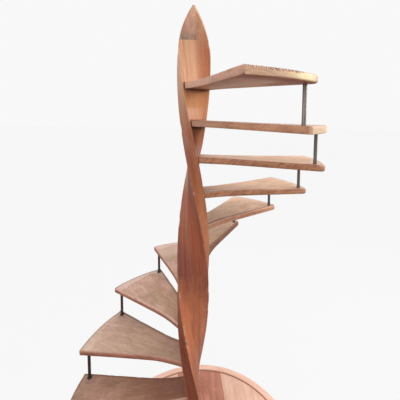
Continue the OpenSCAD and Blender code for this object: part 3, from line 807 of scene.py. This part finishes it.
def post_material():
    k = Mat("post_wood_look")
    loc = k.attr("loc")
    u, v, z = k.sep(loc)
    f1, f2, ed = k.sep(k.attr("zone"))
    edge, housing_shade, dent, shade_below_tread = k.attr("edge", "Fac"), k.attr("housing_shade", "Fac"), k.attr("dent", "Fac"), k.attr("shade_below_tread", "Fac")
    # the staves meet a little off the middle; the glue line wanders
    wander = k.math("MULTIPLY", k.math("SUBTRACT", k.noise(k.comb(k.math("MULTIPLY", z, 3.0), 0.4, 0.2), 1.0, 2.0, 0.5), 0.5), 0.006)
    uj = k.math("SUBTRACT", k.math("ADD", u, wander), k.math("MULTIPLY_ADD", f1, 0.010, 0.003))
    left = k.range(uj, 0.0007, -0.0007)
    streak = k.noise(k.comb(k.math("MULTIPLY", z, 2.6), k.math("MULTIPLY", u, 60.0), k.math("MULTIPLY", v, 60.0)), 1.0, 4.0, 0.6, 0.4)
    us = k.math("ADD", uj, k.math("MULTIPLY", k.math("SUBTRACT", streak, 0.5), 0.010))
    soft = k.range(us, 0.017, -0.017)
    wide = k.range(us, 0.028, -0.028)
    capside = k.range(us, 0.014, -0.010)
    # every stave has its own figure: shift the pattern by stave
    stave = k.comb(k.math("MULTIPLY", k.math("MULTIPLY", left, k.math("MULTIPLY", f2, k.range(z, 1.18, 1.20))), 3.1), k.math("MULTIPLY", f1, 1.7), k.math("MULTIPLY", f2, 0.9))
    vec = k.vmath("ADD", k.comb(z, u, v), stave)
    plain = k.comb(z, u, v)
    fibre, rings, pores = grain(k, vec, 3.2, 165.0, 52.0)
    f = k.range(fibre, 0.34, 0.68)
    r = k.range(rings, 0.32, 0.68)
    broad = k.noise(k.vmath("MULTIPLY", vec, (1.8, 13.0, 13.0)), 1.0, 4.0, 0.55, 0.3)
    b = k.range(broad, 0.34, 0.66)
    cloud = k.noise(k.vmath("MULTIPLY", plain, (9.0, 16.0, 16.0)), 1.0, 4.0, 0.6)
    fig = k.noise(k.vmath("MULTIPLY", plain, (5.0, 30.0, 30.0)), 1.0, 4.0, 0.6, 0.6)
    # front lamination: a pale stave and a redder one, and a cap piece let into the pale side at the top
    pale = k.mix(b, srgb(196, 138, 103), srgb(214, 162, 126))
    pale = k.mix(k.range(streak, 0.50, 0.68, 0.0, 0.60), pale, srgb(230, 182, 152))
    pale = k.mix(k.range(streak, 0.46, 0.32, 0.0, 0.45), pale, srgb(190, 132, 96))
    warm = k.mix(b, srgb(146, 80, 49), srgb(171, 104, 69))
    warm = k.mix(k.range(streak, 0.52, 0.70, 0.0, 0.50), warm, srgb(196, 134, 94))
    c1 = k.mix(wide, warm, pale)
    # golden between the top two treads
    c1 = k.mix(k.range(z, 2.20, 2.12, 0.0, 0.88), c1, k.mix(soft, k.mix(b, srgb(174, 111, 68), srgb(195, 134, 90)), k.mix(b, srgb(184, 122, 78), srgb(206, 146, 100))))
    tipc = k.mix(wide, k.mix(b, srgb(166, 112, 74), srgb(190, 136, 94)), k.mix(b, srgb(166, 120, 98), srgb(190, 146, 124)))
    tipc = k.mix(k.range(cloud, 0.50, 0.66, 0.0, 0.75), tipc, srgb(212, 160, 134))
    tipc = k.mix(k.range(cloud, 0.47, 0.34, 0.0, 0.65), tipc, srgb(136, 94, 72))
    smoke = k.math("MULTIPLY", k.range(k.noise(k.vmath("MULTIPLY", plain, (14.0, 26.0, 26.0)), 1.0, 4.0, 0.6), 0.28, 0.50), k.math("MULTIPLY", k.range(z, 2.438, 2.388), k.range(u, 0.022, -0.032)))
    tipc = k.mix(k.math("MULTIPLY", smoke, 0.90), tipc, srgb(118, 107, 93))
    cut = k.range(z, 2.3790, 2.3840)
    fade = k.range(z, 2.33, 2.46)
    c1 = k.mix(k.mix(capside, fade, cut), c1, tipc)
    # lower down the front darkens to the same red brown as the rest
    c1 = k.mix(k.range(z, 2.02, 1.86), c1, k.mix(b, srgb(138, 69, 43), srgb(172, 94, 60)))
    # back lamination: plum brown above the butt joint, amber below
    curve = k.math("MULTIPLY", k.math("MULTIPLY", u, u), 2.6)
    zb = k.math("SUBTRACT", z, curve)
    joint = k.range(k.math("ADD", zb, k.math("MULTIPLY", k.math("SUBTRACT", cloud, 0.5), 0.07)), 1.150, 1.196)
    slow = k.range(z, 1.02, 1.34)
    plum = k.mix(b, srgb(116, 56, 43), srgb(156, 88, 66))
    plum = k.mix(k.range(z, 1.42, 1.52, 0.0, 0.40), plum, srgb(176, 114, 92))
    # painted sheen: paler and pinker high on the back face
    plum = k.mix(k.range(z, 1.60, 1.72, 0.0, 0.55), plum, srgb(206, 170, 150))
    plum_r = k.mix(b, srgb(114, 45, 26), srgb(148, 69, 41))
    plum_r = k.mix(k.range(z, 1.37, 1.29, 0.0, 0.28), plum_r, srgb(160, 84, 55))
    purple = k.math("MULTIPLY", k.range(zb, 1.45, 1.25), k.range(u, 0.000, 0.014))
    plum = k.mix(k.math("MULTIPLY", purple, 0.85), plum, k.mix(b, srgb(92, 32, 29), srgb(116, 46, 38)))
    amber = k.mix(k.range(k.noise(k.vmath("MULTIPLY", plain, (2.2, 14.0, 14.0)), 1.0, 4.0, 0.55, 0.3), 0.34, 0.66), srgb(156, 82, 49), srgb(190, 113, 72))
    amber = k.mix(k.math("MULTIPLY", k.range(us, 0.010, -0.022), 0.75), amber, k.mix(b, srgb(134, 66, 42), srgb(158, 86, 56)))
    amber = k.mix(k.range(fig, 0.52, 0.70, 0.0, 0.40), amber, srgb(204, 126, 85))
    amber = k.mix(k.range(fig, 0.46, 0.32, 0.0, 0.40), amber, srgb(122, 56, 34))
    amber = k.mix(k.range(z, 0.99, 1.17, 0.0, 0.68), amber, srgb(112, 52, 38))
    amber = k.mix(k.range(z, 0.86, 0.60, 0.0, 0.50), amber, srgb(116, 61, 38))
    amber = k.mix(k.math("MULTIPLY", k.range(u, -0.062, -0.074), k.range(z, 0.60, 0.80, 0.0, 0.45)), amber, srgb(96, 44, 30))
    c2 = k.mix(soft, k.mix(joint, amber, plum), k.mix(slow, amber, plum_r))
    # narrow edges
    ce = k.mix(b, srgb(122, 57, 32), srgb(164, 89, 53))
    ce = k.mix(k.range(z, 1.1, 0.80, 0.0, 0.80), ce, srgb(94, 29, 18))
    ce = k.mix(k.math("MULTIPLY", k.range(z, 1.28, 1.42), k.range(z, 1.86, 1.60)), ce, k.mix(b, srgb(145, 79, 46), srgb(183, 111, 67)))
    # painted sheen: the narrow edges paler towards the top
    ce = k.mix(k.range(z, 1.80, 2.36, 0.0, 0.85), ce, srgb(220, 181, 155))
    col = k.mix(f1, ce, c1)
    col = k.mix(f2, col, c2)
    col = k.mix(k.math("MULTIPLY", r, 0.16), col, srgb(120, 60, 40))
    col = k.mix(k.math("MULTIPLY", f, 0.14), col, srgb(222, 158, 118))
    col = k.mix(k.range(fibre, 0.42, 0.30, 0.0, 0.26), col, srgb(84, 40, 26))
    dark_pore = k.range(pores, 0.40, 0.31)
    col = k.mix(k.math("MULTIPLY", dark_pore, 0.28), col, srgb(78, 38, 26))
    # glue lines between the staves and at the butt joints
    line = k.math("MULTIPLY", k.range(k.math("ABSOLUTE", uj), 0.0014, 0.0004), k.math("MULTIPLY", f2, k.range(z, 1.18, 1.20)))
    zj = k.math("MULTIPLY", k.range(k.math("ABSOLUTE", k.math("SUBTRACT", z, 2.3817)), 0.0018, 0.0004), k.math("MULTIPLY", capside, f1))
    zk = k.math("MULTIPLY", k.range(k.math("ABSOLUTE", k.math("SUBTRACT", zb, 1.189)), 0.0018, 0.0004), k.math("MULTIPLY", k.math("SUBTRACT", 1.0, soft), f2))
    seam = k.math("MAXIMUM", line, k.math("MAXIMUM", zj, k.math("MULTIPLY", zk, 0.4)))
    col = k.mix(k.math("MULTIPLY", seam, 0.30), col, srgb(96, 54, 40))
    # painted shadow under and beside the treads, with a painted warm tint in that shade
    flat = k.math("MAXIMUM", f1, f2)
    # a painted warm tint in the shade under each tread
    col = k.mix(k.math("MULTIPLY", k.math("MULTIPLY", k.attr("warm_shade_tint", "Fac"), flat), 0.46), col, srgb(166, 103, 60))
    col = k.mix(k.math("MULTIPLY", k.math("MULTIPLY", shade_below_tread, flat), k.range(cloud, 0.30, 0.62, 0.78, 0.95)), col, srgb(56, 20, 5))
    # rubbed arrises, knocks and scratches down to paler wood
    col = k.mix(k.math("MULTIPLY", edge, k.range(k.noise(k.vmath("MULTIPLY", vec, (24.0, 8.0, 8.0)), 1.0, 4.0, 0.6), 0.42, 0.66, 0.05, 0.50)), col, srgb(216, 156, 118))
    col = k.mix(k.math("MULTIPLY", dent, k.range(cloud, 0.36, 0.60, 0.75, 1.0)), col, srgb(255, 228, 198))
    scr = k.noise(k.comb(k.math("MULTIPLY", z, 30.0), k.math("MULTIPLY", u, 380.0), k.math("MULTIPLY", v, 380.0)), 1.0, 1.0, 0.4)
    col = k.mix(k.range(scr, 0.72, 0.79, 0.0, 0.45), col, srgb(224, 172, 140))
    # painted shade inside the housings
    col = k.mix(k.math("MULTIPLY", housing_shade, 0.85), col, srgb(52, 28, 18))
    rough = k.math("ADD", k.range(broad, 0.3, 0.7, 0.38, 0.52), k.math("MULTIPLY", k.math("SUBTRACT", fibre, 0.5), 0.2))
    h = k.math("ADD", k.math("MULTIPLY", fibre, 0.6), k.math("MULTIPLY", dark_pore, -0.5))
    h = k.math("ADD", h, k.math("MULTIPLY", seam, -1.2))
    # the sheltered wood under a tread is duller
    dull = k.math("MAXIMUM", k.attr("warm_shade_tint", "Fac"), shade_below_tread)
    rough = k.math("MAXIMUM", rough, k.range(dull, 0.05, 0.50, 0.0, 0.92))
    return k.finish(col, rough, k.bump(h, 0.25, 0.0008), spec=0.40)


def board_material(name, c_dark, c_light, c_ring, joint_every, seed):
    k = Mat(name)
    loc = k.attr("loc")
    x, y, z = k.sep(loc)
    edge = k.attr("edge", "Fac")
    vec = k.vmath("ADD", k.comb(y, x, z), (seed, seed * 3.0, seed))
    if joint_every:
        strip = k.math("DIVIDE", k.math("ADD", x, seed), joint_every)
        cell, frac = k.math("FLOOR", strip), k.math("FRACT", strip)
        seam = k.range(k.math("ABSOLUTE", k.math("SUBTRACT", frac, 0.5)), 0.488, 0.496)
        vec = k.vmath("ADD", vec, k.comb(k.math("MULTIPLY", cell, 2.7), k.math("MULTIPLY", cell, 1.3), 0.0))
    fibre, rings, pores = grain(k, vec, 3.6, 150.0, 46.0)
    f = k.range(fibre, 0.34, 0.68)
    r = k.range(rings, 0.32, 0.68)
    col = k.mix(r, c_dark, c_light)
    col = k.mix(k.math("MULTIPLY", f, 0.25), col, c_light)
    blot = k.noise(k.vmath("MULTIPLY", vec, (6.0, 9.0, 6.0)), 1.0, 4.0, 0.6)
    col = k.mix(k.range(blot, 0.47, 0.66, 0.0, 0.75), col, c_ring)
    col = k.mix(k.range(blot, 0.46, 0.32, 0.0, 0.55), col, c_light)
    col = k.mix(k.math("MULTIPLY", k.range(fibre, 0.42, 0.30), 0.30), col, c_dark)
    if joint_every:
        col = k.mix(k.math("MULTIPLY", k.white(k.comb(cell, 0.3, 0.5)), 0.35), col, c_ring)
        col = k.mix(k.math("MULTIPLY", seam, 0.45), col, srgb(140, 92, 70))
    dark_pore = k.range(pores, 0.40, 0.31)
    col = k.mix(k.math("MULTIPLY", dark_pore, 0.25), col, srgb(120, 72, 52))
    col = k.mix(k.math("MULTIPLY", edge, 0.25), col, c_light)
    rough = k.math("ADD", k.range(blot, 0.3, 0.7, 0.44, 0.58), k.math("MULTIPLY", k.math("SUBTRACT", fibre, 0.5), 0.2))
    h = k.math("ADD", k.math("MULTIPLY", fibre, 0.6), k.math("MULTIPLY", dark_pore, -0.5))
    if joint_every:
        h = k.math("ADD", h, k.math("MULTIPLY", seam, -1.5))
    return k.finish(col, rough, k.bump(h, 0.28, 0.0008), spec=0.42)


def rim_material():
    k = Mat("rim_wood_look")
    loc, pos = k.attr("loc"), k.attr("pos")
    px, py, pz = k.sep(pos)
    rad = k.sep(loc)[1]
    edge = k.attr("edge", "Fac")
    # eight sawn segments, each with straight grain along its chord
    turn = k.math("DIVIDE", k.math("ARCTAN2", py, px), 2 * math.pi)
    cells = k.math("MULTIPLY", k.math("ADD", turn, 0.531), 8.0)
    cell, frac = k.math("FLOOR", cells), k.math("FRACT", cells)
    mid = k.math("MULTIPLY", k.math("SUBTRACT", k.math("DIVIDE", k.math("ADD", cell, 0.5), 8.0), 0.531), 2 * math.pi)
    cs, sn = k.math("COSINE", mid), k.math("SINE", mid)
    gx = k.math("SUBTRACT", k.math("MULTIPLY", py, cs), k.math("MULTIPLY", px, sn))
    gy = k.math("ADD", k.math("MULTIPLY", px, cs), k.math("MULTIPLY", py, sn))
    vec = k.vmath("ADD", k.comb(gx, gy, pz), k.comb(k.math("MULTIPLY", cell, 1.9), k.math("MULTIPLY", cell, 0.7), 0.3))
    fibre, rings, pores = grain(k, vec, 5.0, 150.0, 46.0)
    f = k.range(fibre, 0.34, 0.68)
    r = k.range(rings, 0.32, 0.68)
    col = k.mix(r, srgb(228, 175, 151), srgb(250, 210, 192))
    col = k.mix(k.math("MULTIPLY", f, 0.25), col, srgb(246, 208, 186))
    col = k.mix(k.math("MULTIPLY", k.white(k.comb(cell, 3.0, 1.0)), 0.25), col, srgb(222, 170, 144))
    seam = k.range(k.math("ABSOLUTE", k.math("SUBTRACT", frac, 0.5)), 0.4982, 0.4993)
    col = k.mix(k.math("MULTIPLY", seam, 0.5), col, srgb(130, 84, 64))
    # painted shade on the inside of the rim, where it steps down to the floor
    inner = k.range(rad, 0.6135, 0.6045)
    col = k.mix(k.math("MULTIPLY", inner, 0.80), col, srgb(158, 104, 82))
    dark_pore = k.range(pores, 0.40, 0.31)
    col = k.mix(k.math("MULTIPLY", dark_pore, 0.22), col, srgb(130, 80, 60))
    col = k.mix(k.math("MULTIPLY", edge, 0.35), col, srgb(242, 206, 184))
    rough = k.math("MULTIPLY_ADD", fibre, 0.22, 0.40)
    h = k.math("ADD", k.math("MULTIPLY", fibre, 0.6), k.math("MULTIPLY", seam, -1.5))
    return k.finish(col, rough, k.bump(h, 0.28, 0.0008), spec=0.42)


def rod_material():
    k = Mat("rod_steel_look")
    loc, foot = k.attr("loc"), k.attr("foot", "Fac")
    rust = k.noise(k.vmath("MULTIPLY", loc, (70.0, 70.0, 34.0)), 1.0, 5.0, 0.6)
    fine = k.noise(k.vmath("MULTIPLY", loc, (420.0, 420.0, 60.0)), 1.0, 3.0, 0.55)
    col = k.mix(k.range(rust, 0.42, 0.68), srgb(52, 48, 47), srgb(70, 56, 49))
    # paler bare steel on the upper rods, partly painted light
    col = k.mix(k.math("MULTIPLY", k.attr("bare_and_lit", "Fac"), k.range(rust, 0.32, 0.60, 0.70, 1.0)), col, srgb(138, 124, 119))
    col = k.mix(k.math("MULTIPLY", k.range(fine, 0.55, 0.75), 0.5), col, srgb(114, 106, 103))
    col = k.mix(k.math("MULTIPLY", foot, 0.55), col, srgb(44, 36, 32))
    rough = k.math("ADD", k.range(rust, 0.3, 0.7, 0.36, 0.55), k.math("MULTIPLY", foot, 0.15))
    return k.finish(col, rough, k.bump(k.math("ADD", fine, k.math("MULTIPLY", rust, 0.6)), 0.25, 0.0004), metallic=0.35, spec=0.5)


# ---------------------------------------------------------------- build the object
TREAD_MAT, POST_MAT, ROD_MAT, RIM_MAT = tread_material(), post_material(), rod_material(), rim_material()
PALE_MAT = board_material("pale_board_look", srgb(218, 170, 145), srgb(240, 200, 178), srgb(216, 164, 138), 0.104, 0.03)
DARK_MAT = board_material("dark_board_look", srgb(166, 102, 82), srgb(204, 140, 116), srgb(164, 98, 77), 0.0, 0.7)

for n in range(1, TREADS + 1):
    tread_piece(n, TREAD_MAT)
    rod_piece(n, ROD_MAT)
post_piece(POST_MAT)
rim_piece(RIM_MAT)
board_piece("board_piece_left", -BOARD_R, -JOINT_L, PALE_MAT, "base_board_left")
board_piece("board_piece_centre", -JOINT_L, JOINT_R, DARK_MAT, "base_board_centre")
board_piece("board_piece_right", JOINT_R, BOARD_R, PALE_MAT, "base_board_right")


# ---------------------------------------------------------------- camera, floor, light
def camera():
    yaw, pitch, roll = math.radians(-0.4476), math.radians(4.3150), math.radians(0.6783)
    fwd = Vector((math.sin(yaw) * math.cos(pitch), math.cos(yaw) * math.cos(pitch), -math.sin(pitch)))
    right = Vector((math.cos(yaw), -math.sin(yaw), 0.0))
    up = right.cross(fwd)
    r = right * math.cos(roll) + up * math.sin(roll)
    u = up * math.cos(roll) - right * math.sin(roll)
    c = bpy.data.cameras.new("photo_camera")
    c.sensor_width, c.lens = 36.0, 273.556 / 400 * 36.0
    c.shift_x, c.shift_y = (200 - 225.458) / 400, (140.008 - 200) / 400
    c.clip_start = 0.02
    o = link(bpy.data.objects.new("photo_camera", c))
    o.matrix_world = Matrix(((r.x, u.x, -fwd.x, 0.17220), (r.y, u.y, -fwd.y, -1.38309), (r.z, u.z, -fwd.z, 1.99985), (0, 0, 0, 1)))
    bpy.context.scene.camera = o


def area(name, where, aim, size, power, color=(1, 1, 1)):
    d = bpy.data.lights.new(name, "AREA")
    d.shape, d.size, d.energy, d.color = "DISK", size, power, color
    o = link(bpy.data.objects.new(name, d))
    o.location = where
    o.rotation_euler = (Vector(aim) - Vector(where)).to_track_quat("-Z", "Y").to_euler()
    o.visible_camera = False
    return o


def stage():
    me = bpy.data.meshes.new("floor")
    s = 60.0
    me.from_pydata([(-s, -s, 0), (s, -s, 0), (s, s, 0), (-s, s, 0)], [], [(0, 1, 2, 3)])
    floor = link(bpy.data.objects.new("floor", me))
    k = Mat("floor_look")
    k.bsdf.inputs["Base Color"].default_value = (0.04, 0.04, 0.04, 1)
    k.bsdf.inputs["Roughness"].default_value = 0.9
    k.bsdf.inputs["Specular IOR Level"].default_value = 0.0
    k.bsdf.inputs["Emission Color"].default_value = (1, 1, 1, 1)
    k.bsdf.inputs["Emission Strength"].default_value = 0.893
    me.materials.append(k.m)
    # the pale floor is seen, but the light from below is the sky's own dimmer lower half
    floor.visible_diffuse = False
    floor.visible_glossy = False
    w = bpy.data.worlds.new("studio")
    bpy.context.scene.world = w
    w.use_nodes = True
    t = w.node_tree
    bg = t.nodes["Background"]

    def node(kind, **props):
        x = t.nodes.new(kind)
        for key, val in props.items():
            setattr(x, key, val)
        return x

    def ramp(v, a, b, lo, hi):
        x = node("ShaderNodeMapRange", interpolation_type="SMOOTHSTEP", clamp=True)
        t.links.new(v, x.inputs[0])
        for i, val in enumerate((a, b, lo, hi)):
            x.inputs[i + 1].default_value = val
        return x.outputs[0]

    def times(a, b):
        x = node("ShaderNodeMath", operation="MULTIPLY")
        t.links.new(a, x.inputs[0])
        t.links.new(b, x.inputs[1])
        return x.outputs[0]

    coord = node("ShaderNodeTexCoord")
    sep = node("ShaderNodeSeparateXYZ")
    t.links.new(coord.outputs["Generated"], sep.inputs[0])
    glow = times(ramp(sep.outputs[2], -0.25, 0.35, SKY_LOW, SKY_HIGH), ramp(sep.outputs[0], -1.0, 1.0, 0.85, 1.15))
    lp = node("ShaderNodeLightPath")
    mx = node("ShaderNodeMix", data_type="FLOAT")
    t.links.new(lp.outputs["Is Camera Ray"], mx.inputs[0])
    t.links.new(glow, mx.inputs[2])
    mx.inputs[3].default_value = 0.94
    t.links.new(mx.outputs[0], bg.inputs["Strength"])
    bg.inputs["Color"].default_value = (1, 1, 1, 1)
    area("key", (3.1, 0.1, 2.9), (0, 0, 1.4), 1.4, 68)
    area("fill", (-1.3, -2.7, 2.5), (0, 0, 1.5), 1.6, 38)


SKY_LOW, SKY_HIGH = 0.44, 0.86


camera()
stage()
bpy.context.scene.view_settings.view_transform = "Standard"
bpy.context.scene.view_settings.look = "None"
